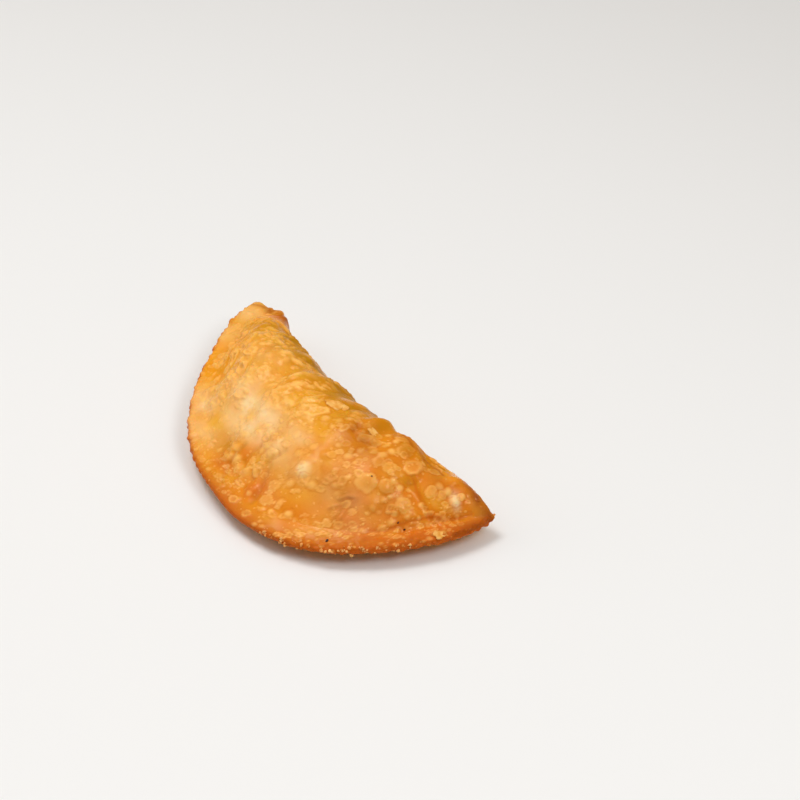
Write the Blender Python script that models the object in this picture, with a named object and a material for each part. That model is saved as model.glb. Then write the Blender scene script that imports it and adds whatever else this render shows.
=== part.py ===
# Cheburek: a thin round of dough folded over its filling into a half moon, sealed along
# the round edge and deep fried, so that the body puffs and the skin blisters.
#
# Model frame: +X runs along the fold from the raised tip to the low tip, the sealed edge
# lies towards -Y and +Z is up. The origin is the middle of the bounding box, on the floor.

import math

import bmesh
import bpy
import numpy as np
from mathutils import Vector

MM = 0.001

# Outline in plan, before the model is centred
RAISED_TIP_X = -80.2 * MM
LOW_TIP_X = 78.3 * MM
WIDEST_X = 23.6 * MM
DEPTH = 71.8 * MM
RAISED_SIDE_FULLNESS = 1.61
LOW_SIDE_FULLNESS = 2.19
SIDE_SWELL = 4.3 * MM
SIDE_SWELL_X = -23.0 * MM
SIDE_SWELL_WIDTH = 30.0 * MM
SIDE_HOLLOW = 1.2 * MM
SIDE_HOLLOW_X = -62.0 * MM
SIDE_HOLLOW_WIDTH = 9.0 * MM
LOW_TIP_TRIM = 2.8 * MM
LOW_TIP_TRIM_REACH = 20.0 * MM
CRAG_DEPTH = 0.7 * MM
CRAG_LENGTH = 5.2 * MM
CRAG_DRIFT = 3.0
TIP_CLEARANCE = 14.4 * MM
RIM_WAVE = 0.3 * MM
RIM_WAVE_LENGTH = 31.0 * MM

# The folded side in plan
FLAP_RISE = 2.8 * MM
FLAP_X = -63.5 * MM
NECK_X = -51.0 * MM
NECK_LENGTH = 6.0 * MM
FOLD_PULL = 5.7 * MM
FOLD_BOW = -2.9 * MM
LOW_TIP_SHOULDER = 40.0 * MM

# Heights of the middle of the sheet, and how late it bends up to each tip
EDGE_HEIGHT = 5.8 * MM
FOLD_HEIGHT = 9.8 * MM
RAISED_TIP_HEIGHT = 13.8 * MM
LOW_TIP_HEIGHT = 6.3 * MM
EDGE_BEND = 2.2
FOLD_BEND = 3.0

# Section from the sealed edge to the fold
RIM_WIDTH = 8.2 * MM
RIM_THICKNESS = 2.9 * MM
RIM_SHARE_LIMIT = 0.35
THICKNESS_SHARE_LIMIT = 0.6
TOP_PUFF = 18.6 * MM
BOTTOM_PUFF = 8.6 * MM
TOP_CROWN_PLACE = 0.59
BOTTOM_CROWN_PLACE = 0.70
SOFT_CREASE_MIDDLE = 0.40
SOFT_CREASE_RAISED = 0.85
BAND_LIFT = 2.0 * MM
RAISED_PUFF_START = 12.0 * MM
RAISED_PUFF_LENGTH = 48.0 * MM
LOW_PUFF_START = 5.0 * MM
LOW_PUFF_LENGTH = 54.0 * MM
LOW_PUFF_BLUNTNESS = 0.85
FLAT_SPOT_CUT = 1.5 * MM

# Large blisters on the top skin: place from the middle of the half moon, radius, height
BLISTERS = (
    (36.0 * MM, 16.5 * MM, 6.0 * MM, 2.4 * MM),
    (20.0 * MM, 15.0 * MM, 8.0 * MM, 0.8 * MM),
    (46.0 * MM, 19.5 * MM, 8.0 * MM, 1.9 * MM),
    (34.5 * MM, -13.8 * MM, 4.4 * MM, 0.8 * MM),
    (53.4 * MM, 1.1 * MM, 3.9 * MM, 0.8 * MM),
    (57.5 * MM, 3.8 * MM, 3.4 * MM, 0.8 * MM),
    (58.9 * MM, 13.4 * MM, 4.0 * MM, 1.0 * MM),
    (71.0 * MM, 22.0 * MM, 4.2 * MM, 1.3 * MM),
    (-38.7 * MM, 11.7 * MM, 5.0 * MM, 0.8 * MM),
    (-16.0 * MM, 0.0 * MM, 5.5 * MM, 0.8 * MM),
    (-2.0 * MM, 6.0 * MM, 7.0 * MM, 0.9 * MM),
    (-63.0 * MM, 14.0 * MM, 5.5 * MM, 0.5 * MM),
)

# Sunken places of the same kind
HOLLOWS = (
    (33.0 * MM, 7.6 * MM, 3.4 * MM, 1.3 * MM),
    (-5.0 * MM, -23.0 * MM, 7.0 * MM, 1.0 * MM),
    (9.0 * MM, -27.0 * MM, 6.0 * MM, 0.9 * MM),
    (54.0 * MM, -9.0 * MM, 5.0 * MM, 0.9 * MM),
    (-10.0 * MM, 21.5 * MM, 15.0 * MM, 1.9 * MM),
    (59.0 * MM, 24.5 * MM, 9.0 * MM, 1.2 * MM),
)

# Creases: start and end in plan, width, depth
CREASES = (
    ((61.5 * MM, 10.5 * MM), (71.5 * MM, 12.4 * MM), 1.9 * MM, 1.4 * MM),
    ((66.0 * MM, -9.0 * MM), (69.5 * MM, 3.0 * MM), 1.6 * MM, 0.8 * MM),
    ((69.5 * MM, 3.0 * MM), (74.5 * MM, 25.0 * MM), 1.6 * MM, 1.0 * MM),
    ((-62.0 * MM, -1.0 * MM), (-50.0 * MM, 26.0 * MM), 2.6 * MM, 0.8 * MM),
)

# Small blisters, strewn by a seeded draw
SEED = 7
STREWN_BLISTERS = 110
TOP_PORTION = 0.7
STREWN_RADIUS = (2.3 * MM, 3.8 * MM)
STREWN_STEEPNESS = 0.17
STREWN_ALONG = (0.08, 0.92)
STREWN_SHARE = (0.17, 0.98)
BLISTER_EDGE = 1.5

# Slow unevenness of the whole skin
WAVE_HEIGHT = 0.35 * MM
WAVE_LENGTHS = (17.0 * MM, 23.0 * MM, 29.0 * MM)
WAVE_TURN = 2.0
WAVE_TILT = 0.5
TIP_FADE = 14.0 * MM

# Mesh
CURVE_SAMPLES = 4001
STATIONS_ALONG = 80
STATIONS_AROUND = 68
TOP_STEPS = 40
RIM_SHARE = 0.06
BAND_SHARE = 0.17
TIP_CROWDING = 0.45

CRUST_COLOUR = (0.80, 0.38, 0.09, 1.0)
CRUST_ROUGHNESS = 0.42


def smooth_step(low, high, value):
    part = np.clip((value - low) / (high - low), 0.0, 1.0)
    return part * part * (3.0 - 2.0 * part)


def bell(value, centre, width):
    return np.exp(-(((value - centre) / width) ** 2))


def at_fractions(x, y, fractions):
    steps = np.hypot(np.diff(x), np.diff(y))
    travelled = np.concatenate([[0.0], np.cumsum(steps)])
    length = travelled[-1]
    return np.interp(fractions * length, travelled, x), np.interp(fractions * length, travelled, y)


def sealed_edge(fractions):
    angle = np.linspace(-0.5 * math.pi, 0.5 * math.pi, CURVE_SAMPLES)
    reach = np.where(angle < 0.0, WIDEST_X - RAISED_TIP_X, LOW_TIP_X - WIDEST_X)
    power = 2.0 / np.where(angle < 0.0, RAISED_SIDE_FULLNESS, LOW_SIDE_FULLNESS)
    x = WIDEST_X + reach * np.sign(np.sin(angle)) * np.abs(np.sin(angle)) ** power
    y = -DEPTH * np.abs(np.cos(angle)) ** power
    inland = smooth_step(0.0, TIP_CLEARANCE, -y)
    y -= SIDE_SWELL * bell(x, SIDE_SWELL_X, SIDE_SWELL_WIDTH) * inland
    y += SIDE_HOLLOW * bell(x, SIDE_HOLLOW_X, SIDE_HOLLOW_WIDTH) * inland
    drift = CRAG_DRIFT * np.sin(0.5 * x / CRAG_LENGTH)
    crags = np.abs(np.sin(math.pi * x / CRAG_LENGTH + drift))
    y += CRAG_DEPTH * (crags - 0.5) * inland * smooth_step(-WIDEST_X, -SIDE_SWELL_X, -x)
    trim = np.clip(1.0 + y / LOW_TIP_TRIM_REACH, 0.0, 1.0) ** 2
    x -= LOW_TIP_TRIM * trim * (x > 0.0)
    return at_fractions(x, y, fractions)


def fold_line(start_x, end_x, fractions):
    x = np.linspace(start_x, end_x, CURVE_SAMPLES)
    flap = smooth_step(start_x, FLAP_X, x) * (1.0 - smooth_step(FLAP_X, NECK_X, x))
    shoulder = 1.0 - smooth_step(end_x - LOW_TIP_SHOULDER, end_x, x)
    pulled = smooth_step(FLAP_X, NECK_X + NECK_LENGTH, x) * shoulder
    bow = np.sin(math.pi * np.clip((x - NECK_X) / (end_x - NECK_X), 0.0, 1.0))
    y = FLAP_RISE * flap - FOLD_PULL * pulled + FOLD_BOW * bow
    return at_fractions(x, y, fractions)


def line_height(x, middle, bend):
    to_raised = np.clip((WIDEST_X - x) / (WIDEST_X - RAISED_TIP_X), 0.0, 1.0) ** bend
    to_low = np.clip((x - WIDEST_X) / (LOW_TIP_X - WIDEST_X), 0.0, 1.0) ** bend
    return middle + (RAISED_TIP_HEIGHT - middle) * to_raised + (LOW_TIP_HEIGHT - middle) * to_low


def puff(fold_x):
    from_raised = (fold_x - RAISED_TIP_X - RAISED_PUFF_START) / RAISED_PUFF_LENGTH
    from_low = (LOW_TIP_X - LOW_PUFF_START - fold_x) / LOW_PUFF_LENGTH
    rise = np.sin(0.5 * math.pi * np.clip(from_raised, 0.0, 1.0))
    fall = np.sin(0.5 * math.pi * np.clip(from_low, 0.0, 1.0)) ** LOW_PUFF_BLUNTNESS
    return rise * fall


def crowded(part):
    return (1.0 - TIP_CROWDING) * part + TIP_CROWDING * (0.5 - 0.5 * np.cos(math.pi * part))


def skin_point(along, side, share):
    """Point of the skin: along runs from tip to tip, side is 1 on top and -1 below, and
    share runs from the sealed edge to the fold."""
    edge_x, edge_y = sealed_edge(crowded(along))
    raised_end, low_end = sealed_edge(np.array([0.0, 1.0]))[0]
    fold_x, fold_y = fold_line(raised_end, low_end, crowded(along))
    edge_z = line_height(edge_x, EDGE_HEIGHT, EDGE_BEND)
    edge_z += RIM_WAVE * np.sin(2.0 * math.pi * edge_x / RIM_WAVE_LENGTH) * np.sin(math.pi * along)
    fold_z = line_height(fold_x, FOLD_HEIGHT, FOLD_BEND)
    width = np.hypot(fold_x - edge_x, fold_y - edge_y)
    half = 0.5 * np.minimum(RIM_THICKNESS, THICKNESS_SHARE_LIMIT * width)
    band = np.minimum(RIM_WIDTH, RIM_SHARE_LIMIT * width)

    rim_turn = 0.5 * math.pi * np.clip(share / RIM_SHARE, 0.0, 1.0)
    on_band = np.clip((share - RIM_SHARE) / (BAND_SHARE - RIM_SHARE), 0.0, 1.0)
    on_body = np.clip((share - BAND_SHARE) / (1.0 - BAND_SHARE), 0.0, 1.0)
    climb = np.clip(on_body / 0.5, 0.0, 1.0)
    fall = 0.5 * math.pi * np.clip((1.0 - on_body) / 0.5, 0.0, 1.0)
    crown = np.where(side > 0, TOP_CROWN_PLACE, BOTTOM_CROWN_PLACE)
    body_place = np.where(on_body < 0.5, crown * climb, crown + (1.0 - crown) * np.cos(fall))
    to_raised = smooth_step(0.0, -RAISED_TIP_X, -fold_x)
    soft = SOFT_CREASE_MIDDLE + (SOFT_CREASE_RAISED - SOFT_CREASE_MIDDLE) * to_raised
    climbed = (1.0 - soft) * (1.0 - (1.0 - climb) ** 2) + soft * smooth_step(0.0, 1.0, climb)
    body_rise = np.where(on_body < 0.5, climbed, np.sin(fall))
    across = half * (1.0 - np.cos(rim_turn)) + (band - half) * on_band + (width - band) * body_place
    fold_round = np.clip((width - across) / np.maximum(half, 1e-6), 0.0, 1.0)
    skin = half * np.sin(rim_turn) * np.sqrt(1.0 - (1.0 - fold_round) ** 2)
    band_slope = BAND_LIFT * on_band * (1.0 - smooth_step(0.0, 1.0, climb)) * (side > 0)
    puffed = np.where(side > 0, TOP_PUFF, BOTTOM_PUFF) * body_rise + band_slope

    part = across / np.maximum(width, 1e-6)
    x = edge_x + (fold_x - edge_x) * part
    y = edge_y + (fold_y - edge_y) * part
    middle = edge_z + (fold_z - edge_z) * smooth_step(0.0, 1.0, part)
    return np.stack([x, y, middle + side * (skin + puff(fold_x) * puffed)], axis=-1)


def strewn_blisters(centre):
    draw = np.random.default_rng(SEED)
    along = draw.uniform(*STREWN_ALONG, STREWN_BLISTERS)
    share = draw.uniform(*STREWN_SHARE, STREWN_BLISTERS)
    side = np.where(draw.random(STREWN_BLISTERS) < TOP_PORTION, 1, -1)
    radii = draw.uniform(*STREWN_RADIUS, STREWN_BLISTERS)
    places = skin_point(along, side, share) - centre
    return [(place, radius, STREWN_STEEPNESS * radius) for place, radius in zip(places, radii)]


def top_place(points, normals, x, y):
    gap = np.hypot(points[:, 0] - x, points[:, 1] - y) + (normals[:, 2] < 0.0)
    return points[np.argmin(gap)]


def cap(points, place, radius):
    distance = np.linalg.norm(points - place, axis=1) / radius
    return np.clip(1.0 - distance**2, 0.0, 1.0) ** BLISTER_EDGE


def crease(points, start, end, width):
    start = np.array(start)
    run = np.array(end) - start
    from_start = points[:, :2] - start
    part = np.clip(from_start @ run / (run @ run), 0.0, 1.0)
    distance = np.linalg.norm(from_start - part[:, None] * run, axis=1)
    return np.exp(-((distance / width) ** 2))


def waves(points):
    height = np.zeros(len(points))
    for turn, length in enumerate(WAVE_LENGTHS):
        heading = np.array([math.cos(WAVE_TURN * turn), math.sin(WAVE_TURN * turn), WAVE_TILT])
        height += WAVE_HEIGHT * np.sin(2.0 * math.pi * (points @ heading) / length + turn)
    return height


def relief(points, normals, shares, centre):
    """Height of the fried skin over the smooth half moon, along its normals."""
    height = waves(points) * smooth_step(RIM_SHARE, 2.0 * BAND_SHARE, shares)
    for x, y, radius, rise in BLISTERS:
        height += rise * cap(points, top_place(points, normals, x, y), radius)
    for x, y, radius, sink in HOLLOWS:
        height -= sink * cap(points, top_place(points, normals, x, y), radius)
    for place, radius, rise in strewn_blisters(centre):
        height += rise * cap(points, place, radius)
    for start, end, width, depth in CREASES:
        height -= depth * crease(points, start, end, width) * (normals[:, 2] > 0.0)
    return height


def sphere_address(vertex):
    """Station along and around that a vertex of the unit sphere stands for."""
    along = round(math.acos(max(-1.0, min(1.0, -vertex.co.z))) / math.pi * STATIONS_ALONG)
    around = round(math.atan2(vertex.co.y, vertex.co.x) / (2.0 * math.pi) * STATIONS_AROUND)
    return along / STATIONS_ALONG, around % STATIONS_AROUND


def wrap_sphere(mesh):
    addresses = [sphere_address(vertex) for vertex in mesh.verts]
    along = np.array([address[0] for address in addresses])
    around = np.array([address[1] for address in addresses])
    on_top = around <= TOP_STEPS
    below = (STATIONS_AROUND - around) / (STATIONS_AROUND - TOP_STEPS)
    share = np.where(on_top, around / TOP_STEPS, below)
    points = skin_point(along, np.where(on_top, 1, -1), share)
    for vertex, point in zip(mesh.verts, points):
        vertex.co = Vector(point)
    if mesh.calc_volume(signed=True) < 0.0:
        bmesh.ops.reverse_faces(mesh, faces=mesh.faces)
    mesh.normal_update()
    return share


def centre_of(mesh):
    points = np.array([vertex.co[:] for vertex in mesh.verts])
    return 0.5 * (points.min(axis=0) + points.max(axis=0))


def tip_room(x):
    """Relief fades out where the sheet runs out at the two tips."""
    end = 0.5 * (LOW_TIP_X - RAISED_TIP_X)
    return smooth_step(0.0, TIP_FADE, end - np.abs(x))


def raise_skin(mesh, shares):
    centre = centre_of(mesh)
    points = np.array([vertex.co[:] for vertex in mesh.verts]) - centre
    normals = np.array([vertex.normal[:] for vertex in mesh.verts])
    heights = relief(points, normals, shares, centre) * tip_room(points[:, 0])
    for vertex, height in zip(mesh.verts, heights):
        vertex.co += vertex.normal * height


def stand_on_floor(mesh):
    centre = centre_of(mesh)
    floor = min(vertex.co.z for vertex in mesh.verts) + FLAT_SPOT_CUT
    for vertex in mesh.verts:
        vertex.co -= Vector((centre[0], centre[1], floor))
        vertex.co.z = max(vertex.co.z, 0.0)


def crust_material():
    material = bpy.data.materials.new("fried_crust")
    material.use_nodes = True
    shader = material.node_tree.nodes["Principled BSDF"]
    shader.inputs["Base Color"].default_value = CRUST_COLOUR
    shader.inputs["Roughness"].default_value = CRUST_ROUGHNESS
    shader.inputs["Metallic"].default_value = 0.0
    return material


def build_cheburek():
    shell = bmesh.new()
    bmesh.ops.create_uvsphere(shell, u_segments=STATIONS_AROUND, v_segments=STATIONS_ALONG, radius=1.0)
    shares = wrap_sphere(shell)
    raise_skin(shell, shares)
    stand_on_floor(shell)
    mesh = bpy.data.meshes.new("cheburek")
    shell.to_mesh(mesh)
    shell.free()
    mesh.shade_smooth()
    mesh.materials.append(crust_material())
    return bpy.data.objects.new("cheburek", mesh)


def main():
    for leftover in list(bpy.data.objects):
        bpy.data.objects.remove(leftover, do_unlink=True)
    collection = bpy.data.collections.new("cheburek")
    bpy.context.scene.collection.children.link(collection)
    collection.objects.link(build_cheburek())


main()
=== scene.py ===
import math
import bmesh
import bpy
import numpy as np
from mathutils import Matrix, Quaternion, Vector
from mathutils.kdtree import KDTree


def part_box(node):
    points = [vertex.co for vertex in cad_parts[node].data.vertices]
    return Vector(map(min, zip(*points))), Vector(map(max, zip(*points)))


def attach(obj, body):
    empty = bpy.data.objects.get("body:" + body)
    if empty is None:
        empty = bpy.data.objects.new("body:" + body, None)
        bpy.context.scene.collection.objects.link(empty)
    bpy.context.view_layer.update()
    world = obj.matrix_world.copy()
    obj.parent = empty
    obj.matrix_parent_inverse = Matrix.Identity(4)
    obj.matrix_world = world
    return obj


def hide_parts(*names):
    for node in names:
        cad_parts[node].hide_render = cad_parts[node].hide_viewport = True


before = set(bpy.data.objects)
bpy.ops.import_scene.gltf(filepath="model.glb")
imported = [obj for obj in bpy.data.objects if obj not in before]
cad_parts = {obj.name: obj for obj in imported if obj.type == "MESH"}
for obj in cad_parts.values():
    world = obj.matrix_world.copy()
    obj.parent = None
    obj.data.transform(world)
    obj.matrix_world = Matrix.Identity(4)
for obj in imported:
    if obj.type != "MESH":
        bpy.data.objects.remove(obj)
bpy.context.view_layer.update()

# Lengths are in millimetres until a mesh is written
metresPerMm = 0.001


def smoothStep(low, high, value):
    part = np.clip((value - low) / (high - low), 0.0, 1.0)
    return part * part * (3.0 - 2.0 * part)


def bell(value, centre, width):
    return np.exp(-(((value - centre) / width) ** 2))


halfMoon = {
    "raisedTipX": -80.2,
    "lowTipX": 78.3,
    "widestX": 23.6,
    "depth": 71.8,
    "raisedSideFullness": 1.61,
    "lowSideFullness": 2.19,
    "sideSwell": (4.3, -23.0, 30.0),      # height, place, width
    "sideHollow": (1.2, -62.0, 9.0),
    "lowTipTrim": (2.8, 20.0),            # depth, reach
    "crags": (0.7, 5.2, 3.0),             # depth, length, drift
    "tipClearance": 14.4,
    "rimWave": (0.3, 31.0),
    "flapRise": 2.8,
    "flapX": -63.5,
    "neckX": -51.0,
    "neckLength": 6.0,
    "foldPull": 5.7,
    "foldBow": -2.9,
    "lowTipShoulder": 40.0,
    "edgeHeight": 5.8,
    "foldHeight": 9.8,
    "raisedTipHeight": 13.8,
    "lowTipHeight": 6.3,
    "edgeBend": 2.2,
    "foldBend": 3.0,
    "rimWidth": 8.2,
    "rimThickness": 2.9,
    "rimShareLimit": 0.35,
    "thicknessShareLimit": 0.6,
    "topPuff": 18.6,
    "bottomPuff": 8.6,
    "topCrownPlace": 0.59,
    "bottomCrownPlace": 0.70,
    "softCrease": (0.40, 0.85),           # in the middle, at the raised tip
    "bandLift": 2.0,
    "raisedPuff": (12.0, 48.0),           # start, length
    "lowPuff": (5.0, 54.0),
    "lowPuffBluntness": 0.85,
    "rimShare": 0.06,
    "bandShare": 0.17,
    "tipCrowding": 0.45,
    "curveSamples": 4001,
}


def atFractions(x, y, fractions, offset=0.0):
    travelled = np.concatenate([[0.0], np.cumsum(np.hypot(np.diff(x), np.diff(y + offset)))])
    places = fractions * travelled[-1]
    return [np.interp(places, travelled, line + 0.0 * x) for line in (x, y, offset)]


def sealedEdge(fractions):
    m = halfMoon
    angle = np.linspace(-0.5 * math.pi, 0.5 * math.pi, m["curveSamples"])
    reach = np.where(angle < 0.0, m["widestX"] - m["raisedTipX"], m["lowTipX"] - m["widestX"])
    power = 2.0 / np.where(angle < 0.0, m["raisedSideFullness"], m["lowSideFullness"])
    x = m["widestX"] + reach * np.sign(np.sin(angle)) * np.abs(np.sin(angle)) ** power
    y = -m["depth"] * np.abs(np.cos(angle)) ** power
    inland = smoothStep(0.0, m["tipClearance"], -y)
    swell, swellX, swellWidth = m["sideSwell"]
    hollow, hollowX, hollowWidth = m["sideHollow"]
    y -= swell * bell(x, swellX, swellWidth) * inland
    y += hollow * bell(x, hollowX, hollowWidth) * inland
    depth, length, drift = m["crags"]
    crags = np.abs(np.sin(math.pi * x / length + drift * np.sin(0.5 * x / length)))
    crags = depth * (crags - 0.5) * inland * smoothStep(-m["widestX"], -swellX, -x)
    trim, trimReach = m["lowTipTrim"]
    x -= trim * np.clip(1.0 + y / trimReach, 0.0, 1.0) ** 2 * (x > 0.0)
    return atFractions(x, y, fractions, crags)


def foldLine(startX, endX, fractions):
    m = halfMoon
    x = np.linspace(startX, endX, m["curveSamples"])
    flap = smoothStep(startX, m["flapX"], x) * (1.0 - smoothStep(m["flapX"], m["neckX"], x))
    shoulder = 1.0 - smoothStep(endX - m["lowTipShoulder"], endX, x)
    pulled = smoothStep(m["flapX"], m["neckX"] + m["neckLength"], x) * shoulder
    bow = np.sin(math.pi * np.clip((x - m["neckX"]) / (endX - m["neckX"]), 0.0, 1.0))
    y = m["flapRise"] * flap - m["foldPull"] * pulled + m["foldBow"] * bow
    return atFractions(x, y, fractions)[:2]


def lineHeight(x, middle, bend):
    m = halfMoon
    toRaised = np.clip((m["widestX"] - x) / (m["widestX"] - m["raisedTipX"]), 0.0, 1.0) ** bend
    toLow = np.clip((x - m["widestX"]) / (m["lowTipX"] - m["widestX"]), 0.0, 1.0) ** bend
    lift = (m["raisedTipHeight"] - middle) * toRaised
    return middle + lift + (m["lowTipHeight"] - middle) * toLow


def puff(foldX):
    m = halfMoon
    fromRaised = (foldX - m["raisedTipX"] - m["raisedPuff"][0]) / m["raisedPuff"][1]
    fromLow = (m["lowTipX"] - m["lowPuff"][0] - foldX) / m["lowPuff"][1]
    rise = np.sin(0.5 * math.pi * np.clip(fromRaised, 0.0, 1.0))
    fall = np.sin(0.5 * math.pi * np.clip(fromLow, 0.0, 1.0)) ** m["lowPuffBluntness"]
    return rise * fall


def crowded(part):
    crowding = halfMoon["tipCrowding"]
    return (1.0 - crowding) * part + crowding * (0.5 - 0.5 * np.cos(math.pi * part))


# along runs from tip to tip, side is 1 on top and -1 below,
# share runs from the sealed edge (0) to the fold (1)
def skinPoint(along, side, share):
    m = halfMoon
    edgeX, edgeY, crags = sealedEdge(crowded(along))
    edgeY = edgeY + crags * (1.0 - smoothStep(m["rimShare"], 2.0 * m["bandShare"], share))
    raisedEnd, lowEnd = sealedEdge(np.array([0.0, 1.0]))[0]
    foldX, foldY = foldLine(raisedEnd, lowEnd, crowded(along))
    wave, waveLength = m["rimWave"]
    edgeZ = lineHeight(edgeX, m["edgeHeight"], m["edgeBend"])
    edgeZ += wave * np.sin(2.0 * math.pi * edgeX / waveLength) * np.sin(math.pi * along)
    foldZ = lineHeight(foldX, m["foldHeight"], m["foldBend"])
    width = np.hypot(foldX - edgeX, foldY - edgeY)
    half = 0.5 * np.minimum(m["rimThickness"], m["thicknessShareLimit"] * width)
    band = np.minimum(m["rimWidth"], m["rimShareLimit"] * width)

    rimTurn = 0.5 * math.pi * np.clip(share / m["rimShare"], 0.0, 1.0)
    onBand = np.clip((share - m["rimShare"]) / (m["bandShare"] - m["rimShare"]), 0.0, 1.0)
    onBody = np.clip((share - m["bandShare"]) / (1.0 - m["bandShare"]), 0.0, 1.0)
    climb = np.clip(onBody / 0.5, 0.0, 1.0)
    fall = 0.5 * math.pi * np.clip((1.0 - onBody) / 0.5, 0.0, 1.0)
    crown = np.where(side > 0, m["topCrownPlace"], m["bottomCrownPlace"])
    bodyPlace = np.where(onBody < 0.5, crown * climb, crown + (1.0 - crown) * np.cos(fall))
    softMiddle, softRaised = m["softCrease"]
    soft = softMiddle + (softRaised - softMiddle) * smoothStep(0.0, -m["raisedTipX"], -foldX)
    climbed = (1.0 - soft) * (1.0 - (1.0 - climb) ** 2) + soft * smoothStep(0.0, 1.0, climb)
    bodyRise = np.where(onBody < 0.5, climbed, np.sin(fall))
    across = half * (1.0 - np.cos(rimTurn)) + (band - half) * onBand + (width - band) * bodyPlace
    foldRound = np.clip((width - across) / np.maximum(half, 1e-6), 0.0, 1.0)
    skin = half * np.sin(rimTurn) * np.sqrt(1.0 - (1.0 - foldRound) ** 2)
    bandSlope = m["bandLift"] * onBand * (1.0 - smoothStep(0.0, 1.0, climb)) * (side > 0)
    puffed = np.where(side > 0, m["topPuff"], m["bottomPuff"]) * bodyRise + bandSlope

    part = across / np.maximum(width, 1e-6)
    x = edgeX + (foldX - edgeX) * part
    y = edgeY + (foldY - edgeY) * part
    middle = edgeZ + (foldZ - edgeZ) * smoothStep(0.0, 1.0, part)
    return np.stack([x, y, middle + side * (skin + puff(foldX) * puffed)], axis=-1)


# Places are seen from above, from the middle of the half moon
largeRelief = {
    # x, y, radius, rise
    "blisters": (
        (36.0, 16.5, 6.0, 2.4),
        (20.0, 15.0, 8.0, 0.8),
        (46.0, 19.5, 8.0, 1.9),
        (34.5, -13.8, 4.4, 0.8),
        (53.4, 1.1, 3.9, 0.8),
        (57.5, 3.8, 3.4, 0.8),
        (58.9, 13.4, 4.0, 1.0),
        (71.0, 22.0, 4.2, 1.3),
        (-38.7, 11.7, 5.0, 0.8),
        (-16.0, 0.0, 5.5, 0.8),
        (-2.0, 6.0, 7.0, 0.9),
        (-63.0, 14.0, 5.5, 0.5),
    ),
    # x, y, radius, depth
    "hollows": (
        (33.0, 7.6, 3.4, 1.3),
        (-5.0, -23.0, 7.0, 1.0),
        (9.0, -27.0, 6.0, 0.9),
        (54.0, -9.0, 5.0, 0.9),
        (-10.0, 21.5, 15.0, 1.9),
        (59.0, 24.5, 9.0, 1.2),
    ),
    # first place, last place, width, depth
    "creases": (
        ((61.5, 10.5), (71.5, 12.4), 1.9, 1.4),
        ((66.0, -9.0), (69.5, 3.0), 1.6, 0.8),
        ((69.5, 3.0), (74.5, 25.0), 1.6, 1.0),
        ((-62.0, -1.0), (-50.0, 26.0), 2.6, 0.3),
    ),
    "seed": 7,
    "strewn": 110,
    "topPortion": 0.7,
    "strewnRadius": (2.3, 3.8),
    "strewnSteepness": 0.17,
    "strewnAlong": (0.08, 0.92),
    "strewnShare": (0.17, 0.98),
    "blisterEdge": 1.5,
    "waveHeight": 0.35,
    "waveLengths": (17.0, 23.0, 29.0),
    "waveTurn": 2.0,
    "waveTilt": 0.5,
    "tipFade": 14.0,
}


# The skin point nearest to a place seen from above: points that face down stand back by 1 mm
def topPlace(points, normals, x, y):
    gap = np.hypot(points[:, 0] - x, points[:, 1] - y) + (normals[:, 2] < 0.0)
    return points[np.argmin(gap)]


def cap(points, place, radius):
    distance = np.linalg.norm(points - place, axis=1) / radius
    return np.clip(1.0 - distance**2, 0.0, 1.0) ** largeRelief["blisterEdge"]


def crease(points, start, end, width):
    start = np.array(start)
    run = np.array(end) - start
    fromStart = points[:, :2] - start
    part = np.clip(fromStart @ run / (run @ run), 0.0, 1.0)
    distance = np.linalg.norm(fromStart - part[:, None] * run, axis=1)
    return np.exp(-((distance / width) ** 2))


def slowWaves(points):
    height = np.zeros(len(points))
    for turn, length in enumerate(largeRelief["waveLengths"]):
        angle = largeRelief["waveTurn"] * turn
        swing = points @ np.array([math.cos(angle), math.sin(angle), largeRelief["waveTilt"]])
        height += largeRelief["waveHeight"] * np.sin(2.0 * math.pi * swing / length + turn)
    return height


def formRelief(points, normals, shares, centre):
    r, m = largeRelief, halfMoon
    height = slowWaves(points) * smoothStep(m["rimShare"], 2.0 * m["bandShare"], shares)
    for x, y, radius, rise in r["blisters"]:
        height += rise * cap(points, topPlace(points, normals, x, y), radius)
    for x, y, radius, sink in r["hollows"]:
        height -= sink * cap(points, topPlace(points, normals, x, y), radius)
    draw = np.random.default_rng(r["seed"])
    along = draw.uniform(*r["strewnAlong"], r["strewn"])
    share = draw.uniform(*r["strewnShare"], r["strewn"])
    side = np.where(draw.random(r["strewn"]) < r["topPortion"], 1, -1)
    radii = draw.uniform(*r["strewnRadius"], r["strewn"])
    for place, radius in zip(skinPoint(along, side, share) - centre, radii):
        height += r["strewnSteepness"] * radius * cap(points, place, radius)
    for start, end, width, depth in r["creases"]:
        height -= depth * crease(points, start, end, width) * (normals[:, 2] > 0.0)
    return height


ripples = {
    "waves": 14,
    "lengthSpread": (0.7, 1.4),
}


# A smooth random field: many flat waves of about one length, each with its own heading
def ripple(points, length, seed):
    draw = np.random.default_rng(seed)
    field = np.zeros(len(points))
    for number in range(ripples["waves"]):
        heading = draw.normal(size=3)
        heading *= draw.uniform(*ripples["lengthSpread"]) / (length * np.linalg.norm(heading))
        field += np.sin(2.0 * math.pi * (points @ heading) + draw.uniform(0.0, 2.0 * math.pi))
    return field * math.sqrt(2.0 / ripples["waves"])


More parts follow.
